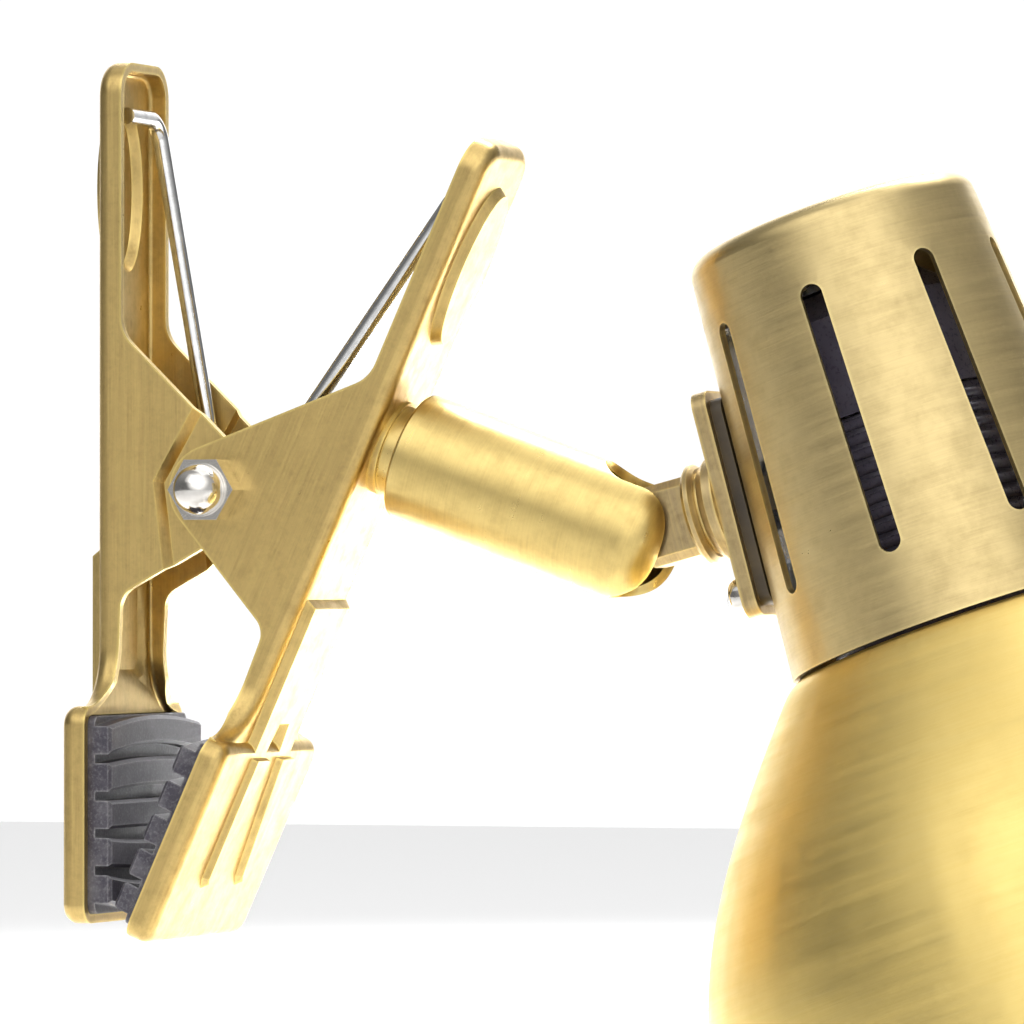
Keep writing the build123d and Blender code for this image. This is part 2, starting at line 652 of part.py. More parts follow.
def make_bushing():
    """Cord inlet bushing, snapped into the wall of the cap."""
    bush = turned(bush_turn, [(BUSH_BORE, -4.4), (BUSH_HUB, -4.4), (BUSH_HUB, 0.1), (BUSH_FLANGE, 0.1),
                              (BUSH_FLANGE, 1.3), (BUSH_FLANGE - 0.9, 2.4), (BUSH_BORE, 2.4)])
    save(bush, "cord_bushing")


# ================================================================ lampholder
def make_bracket():
    """Bent steel strip that carries the lampholder from the mounting plate's fixings."""
    with BuildPart() as bracket:
        with BuildSketch(cross_plane(ball_centre, neck_dir, STRIP_AT)):
            with Locations((2.9, 0)):
                Rectangle(40, STRIP_WIDTH)
        extrude(amount=STRIP)
        leg_plane = Plane(origin=head_top + head_dir * LEG_DOWN, x_dir=head_out, z_dir=head_dir)
        with BuildSketch(leg_plane):
            with Locations((-5.75, 0)):
                Rectangle(24.5, STRIP_WIDTH)
            Circle(8)
        extrude(amount=STRIP)
        add(ring(head_turn, 0, NIPPLE + 0.05, 0, 14).part, mode=Mode.SUBTRACT)
        add(neck_holes(STRIP_AT - 1, STRIP_AT + 2), mode=Mode.SUBTRACT)
    save(bracket, "lampholder_bracket")
    save(ring(head_turn, NIPPLE - 1, NIPPLE, 4.6, 13.6), "nipple")
    save(hex_nut(head_turn, 14, NIPPLE + 0.02, 5.4, LEG_DOWN), "nipple_nut")


def thread_outline(radius, start, end, depth, pitch):
    """Corners of a row of thread ridges along a turned piece."""
    corners = []
    count = int((end - start) / pitch)
    for turn in range(count):
        low = start + turn * pitch
        corners += [(radius - depth, low), (radius, low + pitch * 0.35), (radius, low + pitch * 0.65)]
    corners.append((radius - depth, start + count * pitch))
    return corners


def make_holder():
    """Lampholder: cover, threaded skirt, contact carrier, threaded shell and contacts."""
    r = HOLDER_RADIUS
    cover = turned(head_turn, [(NIPPLE + 0.03, HOLDER_TOP), (9.5, HOLDER_TOP), (r, 14),
                               (r, THREAD_START), (r - 1.2, THREAD_START), (r - 1.2, 14.6),
                               (9.1, 11.4), (NIPPLE + 0.03, 11.4)])
    save(cover, "lampholder_cover")
    ridges = thread_outline(r, THREAD_START + 0.1, HOLDER_FLANGE - 0.6, THREAD_DEPTH, THREAD_PITCH)
    lower = thread_outline(r, SHADE_TOP, HOLDER_END - 0.2, THREAD_DEPTH, THREAD_PITCH)
    skirt = turned(head_turn, [(11.5, THREAD_START + 0.1), *ridges, (r - THREAD_DEPTH, HOLDER_FLANGE),
                               (17.5, HOLDER_FLANGE), (17.5, SHADE_TOP - 0.02), *lower,
                               (r - THREAD_DEPTH, HOLDER_END), (7.8, HOLDER_END), (7.8, 36),
                               (11.5, 36)])
    save(skirt, "lampholder_skirt")
    save(ring(head_turn, 0, 11.3, 24.5, 35.9), "contact_carrier")
    ridges = thread_outline(7.7, 40, SOCKET_END, 0.3, 2.8)
    shell = turned(head_turn, [(7.15, 40), *ridges, (7.15, SOCKET_END)])
    save(shell, "socket_shell")
    tip = BULB_TIP - 0.02
    save(turned(head_turn, [(0, 35.92), (2.4, 35.92), (3.2, 37), (3.2, tip), (0, tip)]), "centre_contact")
    with BuildPart() as screws:
        for side in (-1, 1):
            middle = head_top + head_dir * 24.48 + head_out * 6 * side
            seat = Plane(origin=middle, x_dir=head_out, z_dir=head_dir * -1)
            with BuildSketch(seat):
                Circle(2.4)
            extrude(amount=1.6)
    save(screws, "terminal_screws")


# ================================================================ shade and bulb
def make_shade():
    """Spun bell shade with a rolled rim, and the ring that clamps it to the lampholder."""
    with BuildPart() as shade:
        with BuildSketch(head_turn):
            with BuildLine():
                Line((0, SHADE_TOP), (23.4, SHADE_TOP))
                Spline((23.4, SHADE_TOP), (26.6, 59.9), (36.5, 72.4), (43.7, 83.8), (48.5, 95.1),
                       (51.1, 106.5), (MOUTH_RADIUS, SHADE_END), tangents=((1, 0.5), (0.08, 1)))
                Polyline((MOUTH_RADIUS, SHADE_END), (0, SHADE_END), (0, SHADE_TOP))
            make_face()
        revolve(axis=Axis(head_turn.origin, head_turn.y_dir))
        offset(amount=-SHADE_WALL, openings=shade.faces().sort_by(Axis(head_top, head_dir))[-1])
        with BuildSketch(head_turn):
            with Locations((MOUTH_RADIUS - 0.5, SHADE_END - RIM_BEAD)):
                Circle(RIM_BEAD)
        revolve(axis=Axis(head_turn.origin, head_turn.y_dir))
        add(ring(head_turn, 0, SHADE_BORE, SHADE_TOP - 2, SHADE_TOP + 4).part, mode=Mode.SUBTRACT)
    save(shade, "shade")
    low = SHADE_TOP + SHADE_WALL + 0.02
    bore = HOLDER_RADIUS + 0.06
    clamp = turned(head_turn, [(bore, low), (20, low), (20, low + 1.6), (17.2, low + 1.6),
                               (16.4, low + 5), (bore, low + 5)])
    save(clamp, "shade_ring")


def globe(shrink, mouth):
    """Filled globe and neck, smaller all over by the shrink, from the mouth's distance."""
    reach = BULB_RADIUS - shrink
    waist = radians(-46.5)
    with BuildPart() as form:
        with BuildSketch(head_turn):
            with BuildLine():
                Polyline((0, mouth), (10.5 - shrink, mouth), (12.2 - shrink, HOLDER_END + 8),
                         (reach * cos(waist), BULB_CENTRE + reach * sin(waist)))
                ThreePointArc((reach * cos(waist), BULB_CENTRE + reach * sin(waist)),
                              (reach, BULB_CENTRE), (0, BULB_CENTRE + reach))
                Line((0, BULB_CENTRE + reach), (0, mouth))
            make_face()
        revolve(axis=Axis(head_turn.origin, head_turn.y_dir))
    return form


def make_bulb():
    """Globe bulb with its screw cap and centre contact."""
    collar = HOLDER_END + 0.4
    with BuildPart() as glass:
        add(globe(0, collar + 1.6).part)
        add(globe(GLASS, collar + 1).part, mode=Mode.SUBTRACT)
    save(glass, "bulb_glass")
    ridges = thread_outline(BULB_CAP_RADIUS, 42, 59, 0.5, 2.8)
    cap = turned(head_turn, [(0, 40.6), (4, 40.6), (6.1, 42), *ridges, (BULB_CAP_RADIUS, 60),
                             (BULB_CAP_RADIUS, collar), (11, collar), (11.3, collar + 1.58),
                             (0, collar + 1.58)])
    save(cap, "bulb_cap")
    tip = [(0, BULB_TIP), (1.8, BULB_TIP), (3.4, 39.6), (3.4, 40.58), (0, 40.58)]
    save(turned(head_turn, tip), "bulb_contact")


def main():
    """Make and write every piece."""
    make_rear_jaw()
    make_front_jaw()
    make_pad(jaw_planes(REAR_REACH, Vector(-1, 0, 0), UP)[0], "rear_pad")
    make_pad(jaw_planes(FRONT_REACH, front_out, front_up)[0], "front_pad")
    make_pivot()
    make_spring()
    make_swivel()
    make_tube()
    make_seat()
    make_knuckle()
    make_plate()
    make_cap()
    make_bushing()
    make_bracket()
    make_holder()
    make_shade()
    make_bulb()
    for label, spot in (("pivot", PIVOT), ("arm root", tube_rim), ("ball", ball_centre),
                        ("head top", head_top), ("cord inlet", bush_spot), ("arm axis", arm_dir),
                        ("head axis", head_dir), ("cord axis", bush_out), ("neck axis", neck_dir)):
        print(f"{label:10s} {spot.X:9.4f} {spot.Y:9.4f} {spot.Z:9.4f}")


main()
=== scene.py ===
"""Looks of a clip-on reading lamp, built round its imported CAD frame.

Metres, +Z up, in the frame of the CAD part: the origin is the middle of the rear rubber
pad's gripping face, the clip grips along +X and its pivot axis runs along Y. Most pieces
keep their CAD form and get clean shading. The coil, the seat spring, the plate screw, the
threaded skirt and the ribbed ring are made here.
"""

import json
import logging
from dataclasses import dataclass
from enum import Enum
from math import atan2, cos, pi, radians, sin

import bmesh
import bpy
from mathutils import Matrix, Vector

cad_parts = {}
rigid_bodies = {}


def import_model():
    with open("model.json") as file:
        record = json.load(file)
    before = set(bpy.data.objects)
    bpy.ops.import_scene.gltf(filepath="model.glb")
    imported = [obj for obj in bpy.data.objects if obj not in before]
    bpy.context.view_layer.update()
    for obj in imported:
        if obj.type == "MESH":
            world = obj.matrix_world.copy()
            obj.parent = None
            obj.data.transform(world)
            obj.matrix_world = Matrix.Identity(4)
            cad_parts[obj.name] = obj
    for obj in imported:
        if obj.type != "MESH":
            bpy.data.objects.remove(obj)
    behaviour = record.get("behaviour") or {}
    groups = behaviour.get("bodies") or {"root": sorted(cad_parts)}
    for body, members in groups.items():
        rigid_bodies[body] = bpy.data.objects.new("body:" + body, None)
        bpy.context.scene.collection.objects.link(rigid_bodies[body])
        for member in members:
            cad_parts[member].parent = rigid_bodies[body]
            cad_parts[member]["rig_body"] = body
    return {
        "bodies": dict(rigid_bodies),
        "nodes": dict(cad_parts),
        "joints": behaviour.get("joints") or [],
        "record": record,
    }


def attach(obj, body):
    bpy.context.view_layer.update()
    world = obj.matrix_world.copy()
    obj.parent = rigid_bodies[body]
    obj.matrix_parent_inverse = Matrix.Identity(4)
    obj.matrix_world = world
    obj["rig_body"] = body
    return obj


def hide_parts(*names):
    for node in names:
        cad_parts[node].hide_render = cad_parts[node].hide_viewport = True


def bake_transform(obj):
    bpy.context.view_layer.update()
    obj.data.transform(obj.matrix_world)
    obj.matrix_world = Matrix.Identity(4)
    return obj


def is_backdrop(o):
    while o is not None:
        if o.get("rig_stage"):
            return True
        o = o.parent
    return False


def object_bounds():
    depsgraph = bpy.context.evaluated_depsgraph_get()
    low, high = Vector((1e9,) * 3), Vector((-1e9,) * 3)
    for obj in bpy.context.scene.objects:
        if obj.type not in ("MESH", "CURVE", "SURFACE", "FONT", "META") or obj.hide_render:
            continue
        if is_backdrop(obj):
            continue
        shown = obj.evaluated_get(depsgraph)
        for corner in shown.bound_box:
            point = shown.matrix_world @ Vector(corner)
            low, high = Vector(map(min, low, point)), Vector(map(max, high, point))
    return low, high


LOG = logging.getLogger("lamp")
MM = 0.001
Colour = tuple[float, float, float]

HANDLE_ANGLE = radians(24)
ARM_DROP = radians(19.9)
NECK_RISE = radians(15)
HEAD_LEAN = radians(19.5)

PIVOT = Vector((11.1, 0, 43.2)) * MM
ARM_ROOT = Vector((36.4161, 0, 47.8362)) * MM
ARM_AXIS = Vector((cos(ARM_DROP), 0, -sin(ARM_DROP)))
BALL = Vector((66.3173, 0, 37.0121)) * MM
NECK_AXIS = Vector((cos(NECK_RISE), 0, sin(NECK_RISE)))
NECK_UP = Vector((-sin(NECK_RISE), 0, cos(NECK_RISE)))
HEAD_TOP = Vector((94.0087, 0, 78.7117)) * MM
HEAD_AXIS = Vector((sin(HEAD_LEAN), 0, -cos(HEAD_LEAN)))
HANDLE_LEAN = Vector((sin(HANDLE_ANGLE), 0, cos(HANDLE_ANGLE)))
HANDLE_OUT = Vector((cos(HANDLE_ANGLE), 0, -sin(HANDLE_ANGLE)))
UP = Vector((0, 0, 1))
ACROSS = Vector((0, 1, 0))


class Body(str, Enum):
    """The moving groups of the lamp."""

    REAR = "rear_jaw_body"
    FRONT = "front_jaw_body"
    ARM = "arm_body"
    HEAD = "head_body"


class Grain(Enum):
    """How a metal surface was brushed."""

    ALONG = (1.0, 1.0, 0.03)
    ROUND = (0.03, 0.03, 1.0)


# ---------------------------------------------------------------- material nodes
class Tree:
    """Small helper that builds the node tree of one material."""

    def __init__(self, name: str) -> None:
        """Start a material with an empty Principled surface."""
        self.material = bpy.data.materials.new(name)
        self.material.use_nodes = True
        self.nodes = self.material.node_tree.nodes
        self.links = self.material.node_tree.links
        self.shader = self.nodes["Principled BSDF"]

    def add(self, kind: str, **settings: object) -> bpy.types.Node:
        """Add a node and set its properties.

        Args:
            kind: Blender's name of the node type.
            settings: properties of the node to set.

        Returns:
            The new node.
        """
        node = self.nodes.new(kind)
        for key, value in settings.items():
            setattr(node, key, value)
        return node

    def feed(self, node: bpy.types.Node, **inputs: object) -> bpy.types.Node:
        """Set inputs by name, with underscores for spaces: a socket links, a number sets.

        Args:
            node: the node to feed.
            inputs: values or output sockets for the named inputs.

        Returns:
            The same node.
        """
        for key, value in inputs.items():
            socket = node.inputs[key.replace("_", " ")]
            if isinstance(value, bpy.types.NodeSocket):
                self.links.new(value, socket)
            else:
                socket.default_value = value
        return node

    def place(self, axis: Vector, origin: Vector,
              stretch: tuple[float, float, float]) -> bpy.types.NodeSocket:
        """Object coordinates turned so that Z runs along an axis, then stretched.

        Args:
            axis: direction that becomes Z.
            origin: point that becomes the origin.
            stretch: scale along the turned X, Y and Z.

        Returns:
            The vector output.
        """
        where = self.add("ShaderNodeTexCoord").outputs["Object"]
        centred = self.add("ShaderNodeVectorMath", operation="SUBTRACT")
        self.links.new(where, centred.inputs[0])
        centred.inputs[1].default_value = origin
        turn = axis.rotation_difference(UP).to_euler()
        turned = self.feed(self.add("ShaderNodeMapping"), Vector=centred.outputs[0], Rotation=turn)
        scaled = self.add("ShaderNodeVectorMath", operation="MULTIPLY")
        self.links.new(turned.outputs[0], scaled.inputs[0])
        scaled.inputs[1].default_value = stretch
        return scaled.outputs[0]

    def noise(self, vector: bpy.types.NodeSocket, scale: float, detail: float = 3.0,
              roughness: float = 0.55) -> bpy.types.NodeSocket:
        """Value of a noise pattern, from 0 to 1."""
        node = self.add("ShaderNodeTexNoise")
        self.feed(node, Vector=vector, Scale=scale, Detail=detail, Roughness=roughness)
        return node.outputs["Fac"]

    def spread(self, value: bpy.types.NodeSocket, low: float, high: float, to_low: float = 0.0,
               to_high: float = 1.0) -> bpy.types.NodeSocket:
        """Stretch a range of values to another, held at its ends."""
        node = self.add("ShaderNodeMapRange", clamp=True)
        self.links.new(value, node.inputs["Value"])
        self.feed(node, From_Min=low, From_Max=high, To_Min=to_low, To_Max=to_high)
        return node.outputs["Result"]

    def blend(self, share: bpy.types.NodeSocket, first: object, second: object) -> bpy.types.NodeSocket:
        """Mix two colours by a share."""
        node = self.add("ShaderNodeMix", data_type="RGBA")
        self.links.new(share, node.inputs["Factor"])
        for name, value in (("A", first), ("B", second)):
            socket = next(s for s in node.inputs if s.name == name and s.type == "RGBA")
            if isinstance(value, bpy.types.NodeSocket):
                self.links.new(value, socket)
            else:
                socket.default_value = (*value, 1.0)
        return next(s for s in node.outputs if s.type == "RGBA")

    def total(self, first: bpy.types.NodeSocket, second: bpy.types.NodeSocket,
              operation: str = "ADD") -> bpy.types.NodeSocket:
        """Combine two values."""
        node = self.add("ShaderNodeMath", operation=operation, use_clamp=True)
        self.links.new(first, node.inputs[0])
        self.links.new(second, node.inputs[1])
        return node.outputs[0]

    def edges(self, radius: float) -> bpy.types.NodeSocket:
        """Mask that is 1 on rounded edges and 0 on flat faces, for painting edge highlights."""
        rounded = self.add("ShaderNodeBevel", samples=6)
        rounded.inputs["Radius"].default_value = radius
        flat = self.add("ShaderNodeNewGeometry").outputs["Normal"]
        meet = self.add("ShaderNodeVectorMath", operation="DOT_PRODUCT")
        self.links.new(rounded.outputs[0], meet.inputs[0])
        self.links.new(flat, meet.inputs[1])
        return self.spread(meet.outputs["Value"], 0.985, 0.86)

    def relief(self, height: bpy.types.NodeSocket, depth: float, strength: float) -> None:
        """Bump the surface by a height pattern of that depth in metres."""
        node = self.feed(self.add("ShaderNodeBump"), Height=height, Distance=depth, Strength=strength)
        self.links.new(node.outputs[0], self.shader.inputs["Normal"])


# ---------------------------------------------------------------- finishes
@dataclass(frozen=True)
class BrushedBrass:
    """Antique brass plating, brushed and lightly mottled; its edges are painted brighter, partly wear and
    partly painted highlight.
    """

    name: str
    base: Colour
    dark: Colour
    bright: Colour
    axis: Vector
    origin: Vector
    grain: Grain = Grain.ALONG
    grain_scale: float = 3600.0
    mottle_scale: float = 330.0
    mottle: float = 0.55
    smooth: float = 0.24
    dull: float = 0.42
    edge: float = 0.0008
    relief: float = 0.00003

    def material(self) -> bpy.types.Material:
        """Build the material."""
        tree = Tree(self.name)
        streaked = tree.place(self.axis, self.origin, self.grain.value)
        plain = tree.place(self.axis, self.origin, (1, 1, 1))
        fine = tree.noise(streaked, self.grain_scale, 4, 0.65)
        broad = tree.noise(streaked, self.grain_scale * 0.22, 2)
        blotch = tree.noise(plain, self.mottle_scale, 5, 0.7)
        cloud = tree.noise(plain, self.mottle_scale * 0.16, 2)
        patina = tree.total(tree.spread(blotch, 0.44, 0.66, 0, self.mottle),
                            tree.spread(cloud, 0.35, 0.75, 0, self.mottle * 0.5))
        grain = tree.spread(fine, 0.3, 0.7, 0, 0.3)
        colour = tree.blend(patina, self.base, self.dark)
        colour = tree.blend(grain, colour, self.bright)
        # Rounded edges, broken up by the mottle, are painted towards the bright colour: a painted edge
        # highlight, partly also rubbed wear.
        wear_and_edge_highlight = tree.total(tree.edges(self.edge), tree.spread(blotch, 0.2, 0.5, 0.55, 1), "MULTIPLY")
        colour = tree.blend(wear_and_edge_highlight, colour, self.bright)
        rough = tree.total(tree.spread(blotch, 0.3, 0.7, self.smooth, self.dull),
                           tree.spread(broad, 0.3, 0.7, 0, 0.1))
        tree.feed(tree.shader, Base_Color=colour, Roughness=rough, Metallic=1.0)
        tree.relief(fine, self.relief, 0.45)
        return tree.material


@dataclass(frozen=True)
class BrightMetal:
    """Polished or plated metal with faint scratches and clouding."""

    name: str
    base: Colour
    tint: Colour
    smooth: float = 0.08
    dull: float = 0.2
    scratch: float = 0.000008
    edge: float = 0.0002

    def material(self) -> bpy.types.Material:
        """Build the material."""
        tree = Tree(self.name)
        plain = tree.place(UP, PIVOT, (1, 1, 1))
        drawn = tree.place(Vector((1, 0.3, 0.6)).normalized(), PIVOT, (1, 1, 0.05))
        cloud = tree.noise(plain, 420, 4)
        scratches = tree.noise(drawn, 5200, 3, 0.7)
        colour = tree.blend(tree.spread(cloud, 0.35, 0.7), self.base, self.tint)
        colour = tree.blend(tree.spread(scratches, 0.56, 0.74, 0, 0.35), colour, self.tint)
        # Rounded edges painted brighter than the base: a painted edge highlight.
        colour = tree.blend(tree.edges(self.edge), colour, tuple(min(1.0, c * 1.15) for c in self.base))
        rough = tree.total(tree.spread(cloud, 0.3, 0.75, self.smooth, self.dull),
                           tree.spread(scratches, 0.55, 0.75, 0, 0.12))
        tree.feed(tree.shader, Base_Color=colour, Roughness=rough, Metallic=1.0)
        tree.relief(scratches, self.scratch, 0.4)
        return tree.material


@dataclass(frozen=True)
class MouldedRubber:
    """Grey moulded rubber with a pale speckle; its edges are painted paler, partly wear and partly painted
    highlight.
    """

    name: str
    base: Colour
    speck: Colour
    rubbed_and_highlight: Colour

    def material(self) -> bpy.types.Material:
        """Build the material."""
        tree = Tree(self.name)
        plain = tree.place(UP, PIVOT, (1, 1, 1))
        grit = tree.noise(plain, 2600, 3, 0.7)
        dust = tree.noise(plain, 260, 4, 0.65)
        colour = tree.blend(tree.spread(grit, 0.5, 0.68, 0, 0.75), self.base, self.speck)
        colour = tree.blend(tree.spread(dust, 0.45, 0.75, 0, 0.35), colour, self.rubbed_and_highlight)
        # Edges, broken up by the grit, are painted towards the pale colour: partly rubbed wear and partly a
        # painted highlight.
        wear_and_edge_highlight = tree.total(tree.edges(0.0005), tree.spread(grit, 0.3, 0.6, 0.3, 1), "MULTIPLY")
        colour = tree.blend(wear_and_edge_highlight, colour, self.rubbed_and_highlight)
        tree.feed(tree.shader, Base_Color=colour, Roughness=tree.spread(dust, 0.3, 0.7, 0.32, 0.48))
        tree.relief(grit, 0.00005, 0.5)
        return tree.material


@dataclass(frozen=True)
class MouldedPlastic:
    """Moulded plastic with a fine texture and a painted sheen on its edges."""

    name: str
    base: Colour
    pale: Colour
    roughness: float = 0.38

    def material(self) -> bpy.types.Material:
        """Build the material."""
        tree = Tree(self.name)
        plain = tree.place(HEAD_AXIS, HEAD_TOP, (1, 1, 1))
        grit = tree.noise(plain, 2200, 3, 0.6)
        flow = tree.noise(plain, 140, 4)
        colour = tree.blend(tree.spread(flow, 0.35, 0.7, 0, 0.6), self.base, self.pale)
        # Edges painted towards the pale colour: a painted sheen.
        colour = tree.blend(tree.total(tree.edges(0.0003), tree.spread(grit, 0.3, 0.7, 0.4, 1), "MULTIPLY"),
                            colour, self.pale)
        rough = tree.spread(grit, 0.3, 0.7, self.roughness - 0.07, self.roughness + 0.09)
        tree.feed(tree.shader, Base_Color=colour, Roughness=rough)
        tree.relief(grit, 0.00002, 0.35)
        return tree.material


@dataclass(frozen=True)
class OpalGlass:
    """White coated glass of a globe bulb."""

    name: str
    base: Colour
    shade: Colour

    def material(self) -> bpy.types.Material:
        """Build the material."""
        tree = Tree(self.name)
        plain = tree.place(HEAD_AXIS, HEAD_TOP, (1, 1, 1))
        cloud = tree.noise(plain, 60, 3)
        film = tree.noise(plain, 900, 3)
        colour = tree.blend(tree.spread(cloud, 0.35, 0.7), self.base, self.shade)
        tree.feed(tree.shader, Base_Color=colour, Roughness=tree.spread(film, 0.3, 0.7, 0.14, 0.24),
                  Coat_Weight=0.4, Coat_Roughness=0.06)
        tree.relief(film, 0.00001, 0.15)
        return tree.material


BRASS = (0.60, 0.425, 0.165)
BRASS_DARK = (0.36, 0.25, 0.10)
BRASS_BRIGHT = (0.84, 0.66, 0.235)

CLIP_REAR = BrushedBrass("clip_brass_rear", BRASS, BRASS_DARK, BRASS_BRIGHT, UP, PIVOT)
CLIP_FRONT = BrushedBrass("clip_brass_front", BRASS, BRASS_DARK, BRASS_BRIGHT, HANDLE_LEAN, PIVOT)
ARM_BRASS = BrushedBrass("arm_brass", (0.68, 0.505, 0.19), (0.47, 0.33, 0.12), (0.86, 0.69, 0.26),
                         ARM_AXIS, ARM_ROOT, Grain.ROUND, 4200, 260, 0.45, 0.22, 0.36)
NECK_BRASS = BrushedBrass("neck_brass", (0.46, 0.345, 0.185), (0.25, 0.18, 0.095), (0.80, 0.62, 0.25),
                          NECK_AXIS, BALL, Grain.ROUND, 3800, 500, 0.6, 0.26, 0.42)
CAP_BRASS = BrushedBrass("cap_brass", (0.60, 0.465, 0.225), (0.43, 0.325, 0.15), (0.80, 0.65, 0.30),
                         HEAD_AXIS, HEAD_TOP, Grain.ROUND, 4600, 240, 0.45, 0.26, 0.38)
SHADE_BRASS = BrushedBrass("shade_brass", (0.86, 0.65, 0.22), (0.76, 0.57, 0.18), (0.93, 0.74, 0.31),
                           HEAD_AXIS, HEAD_TOP, Grain.ROUND, 3400, 130, 0.35, 0.33, 0.42)
NICKEL = BrightMetal("nickel", (0.80, 0.775, 0.73), (0.66, 0.63, 0.59))
SPRING_WIRE = BrightMetal("spring_wire", (0.80, 0.80, 0.79), (0.60, 0.60, 0.60), 0.1, 0.22, 0.000012)
ZINC = BrightMetal("zinc_steel", (0.62, 0.635, 0.65), (0.45, 0.46, 0.47), 0.24, 0.42, 0.000014)
CONTACT = BrightMetal("contact_brass", (0.80, 0.62, 0.28), (0.62, 0.44, 0.17), 0.16, 0.3)
BULB_METAL = BrightMetal("bulb_metal", (0.76, 0.76, 0.77), (0.6, 0.6, 0.61), 0.22, 0.36)
PAD_RUBBER = MouldedRubber("pad_rubber", (0.042, 0.037, 0.052), (0.13, 0.125, 0.14), (0.27, 0.265, 0.275))
BLACK = MouldedPlastic("black_plastic", (0.040, 0.033, 0.050), (0.085, 0.075, 0.10))
HOLDER = MouldedPlastic("holder_black", (0.12, 0.105, 0.145), (0.24, 0.22, 0.28), 0.3)
SEAL = MouldedPlastic("plate_seal", (0.055, 0.042, 0.028), (0.16, 0.12, 0.06), 0.4)
CARRIER = MouldedPlastic("glazed_carrier", (0.70, 0.67, 0.60), (0.80, 0.78, 0.72), 0.28)
OPAL = OpalGlass("opal_glass", (0.87, 0.86, 0.83), (0.80, 0.79, 0.76))


# ---------------------------------------------------------------- mesh makers
def smooth_by_angle(mesh: bpy.types.Mesh, angle: float) -> None:
    """Shade a mesh smooth, apart from edges sharper than an angle in degrees."""
    mesh.shade_smooth()
    mesh.set_sharp_from_angle(angle=radians(angle))


def baked(obj: bpy.types.Object, name: str) -> bpy.types.Object:
    """Turn an object and its modifiers into a plain mesh object at the origin.

    Args:
        obj: object with live modifiers, which is removed.
        name: name of the result.

    Returns:
        The plain object.
    """
    bpy.context.view_layer.update()
    evaluated = obj.evaluated_get(bpy.context.evaluated_depsgraph_get())
    mesh = bpy.data.meshes.new_from_object(evaluated)
    bpy.data.objects.remove(obj)
    mesh.name = name
    result = bpy.data.objects.new(name, mesh)
    bpy.context.scene.collection.objects.link(result)
    return result


def refined(frame: dict, node: str, finish: bpy.types.Material, slot: str,
            angle: float = 32) -> bpy.types.Object:
    """Merged and cleanly shaded copy of a CAD node, which it replaces.

    Args:
        node: name of the CAD node.
        finish: material of the piece.
        slot: the record's material slot; not used.
        angle: edges sharper than this stay sharp, in degrees.

    Returns:
        The new piece, riding on the node's body.
    """
    source = frame["nodes"][node]
    mesh = source.data.copy()
    mesh.materials.clear()
    mesh.materials.append(finish)
    work = bmesh.new()
    work.from_mesh(mesh)
    bmesh.ops.remove_doubles(work, verts=work.verts, dist=0.000002)
    bmesh.ops.dissolve_degenerate(work, edges=work.edges, dist=0.000001)
    for face in work.faces:
        face.material_index = 0
    work.to_mesh(mesh)
    work.free()
    if mesh.attributes.get("custom_normal"):
        mesh.attributes.remove(mesh.attributes["custom_normal"])
    smooth_by_angle(mesh, angle)
    copy = bpy.data.objects.new(f"{node}_work", mesh)
    bpy.context.scene.collection.objects.link(copy)
    weighted = copy.modifiers.new("even", "WEIGHTED_NORMAL")
    weighted.keep_sharp = True
    weighted.weight = 90
    return settle(baked(copy, f"{node}_piece"), source["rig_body"], slot, node)


def settle(piece: bpy.types.Object, body: str, slot: str, *nodes: str) -> bpy.types.Object:
    """Let a finished piece ride on its body and stand for its CAD nodes."""
    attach(piece, body)
    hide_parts(*nodes)
    LOG.info("%s: %d faces on %s", piece.name, len(piece.data.polygons), body)
    return piece


def axis_frame(origin: Vector, axis: Vector) -> Matrix:
    """Matrix that puts Z along an axis, Y along the lamp's Y and the origin at a point."""
    x_axis = ACROSS.cross(axis).normalized()
    y_axis = axis.cross(x_axis).normalized()
    turn = Matrix((x_axis, y_axis, axis.normalized())).transposed().to_4x4()
    return Matrix.Translation(origin) @ turn


def lathe(name: str, outline: list[tuple[float, float]], place: Matrix, finish: bpy.types.Material,
          steps: int = 128, bevel: float = 0.0) -> bpy.types.Object:
    """Closed turned piece from an outline of (radius, height) corners in millimetres.

    Args:
        name: name of the piece.
        outline: corners of the half section, with both ends on the axis or neither.
        place: frame whose Z is the axis.
        finish: material of the piece.
        steps: facets round the axis.
        bevel: width of the rounding on sharp edges, in millimetres.

    Returns:
        The plain object, with its faces outwards.
    """
    work = bmesh.new()
    rings = []
    for radius, height in outline:
        count = steps if radius > 1e-6 else 1
        angles = [2 * pi * k / count for k in range(count)]
        reach = radius * MM
        rings.append([work.verts.new((reach * cos(a), reach * sin(a), height * MM)) for a in angles])
    open_ends = outline[0][0] < 1e-6 and outline[-1][0] < 1e-6
    pairs = list(zip(rings, rings[1:])) + ([] if open_ends else [(rings[-1], rings[0])])
    for low, high in pairs:
        for k in range(steps):
            after = (k + 1) % steps
            corners = [low[k % len(low)], low[after % len(low)], high[after % len(high)], high[k % len(high)]]
            unique = list(dict.fromkeys(corners))
            if len(unique) > 2:
                work.faces.new(unique)
    bmesh.ops.recalc_face_normals(work, faces=work.faces)
    mesh = bpy.data.meshes.new(name)
    work.to_mesh(mesh)
    work.free()
    mesh.materials.append(finish)
    mesh.transform(place)
    smooth_by_angle(mesh, 30)
    obj = bpy.data.objects.new(f"{name}_work", mesh)
    bpy.context.scene.collection.objects.link(obj)
    if bevel:
        rounding = obj.modifiers.new("round", "BEVEL")
        rounding.width = bevel * MM
        rounding.segments = 2
        rounding.angle_limit = radians(30)
        rounding.harden_normals = True
    return baked(obj, name)


